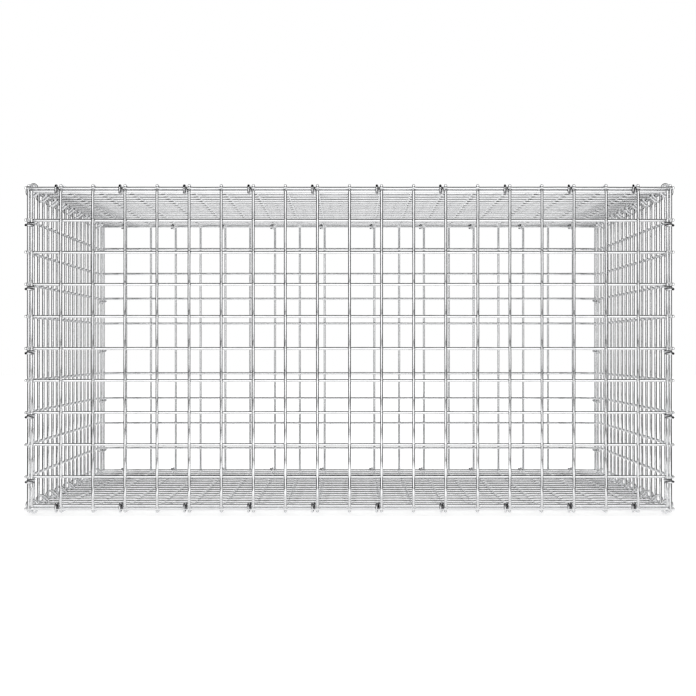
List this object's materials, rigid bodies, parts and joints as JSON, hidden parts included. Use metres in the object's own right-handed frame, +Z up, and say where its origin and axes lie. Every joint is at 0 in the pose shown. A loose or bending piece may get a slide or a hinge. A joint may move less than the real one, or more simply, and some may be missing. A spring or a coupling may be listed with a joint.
{
  "type": "welded mesh gabion basket",
  "caption": "Closed box of galvanised welded wire mesh, its panels laced along every edge with steel C-rings; filled with stone it is one bay of a gabion wall.",
  "frame": {"origin": "on the ground, under the middle of the basket", "axes": "+X along the width, to the right seen from the front; +Y from the front panel to the back panel; +Z up"},
  "size_m": [1.0256, 0.9238, 0.5238],
  "materials": {
    "mesh_wire": "galvanised, pale silver, satin",
    "ring_wire": "galvanised, a little darker and brighter edged than the mesh"
  },
  "bodies": {
    "root": {"front_panel": "mesh_wire", "back_panel": "mesh_wire", "left_panel": "mesh_wire", "right_panel": "mesh_wire", "lid_panel": "mesh_wire", "base_panel": "mesh_wire", "rings_top_front": "ring_wire", "rings_top_back": "ring_wire", "rings_top_left": "ring_wire", "rings_top_right": "ring_wire", "rings_bottom_front": "ring_wire", "rings_bottom_back": "ring_wire", "rings_bottom_left": "ring_wire", "rings_bottom_right": "ring_wire", "rings_left_front": "ring_wire", "rings_left_back": "ring_wire", "rings_right_front": "ring_wire", "rings_right_back": "ring_wire"}
  },
  "joints": []
}
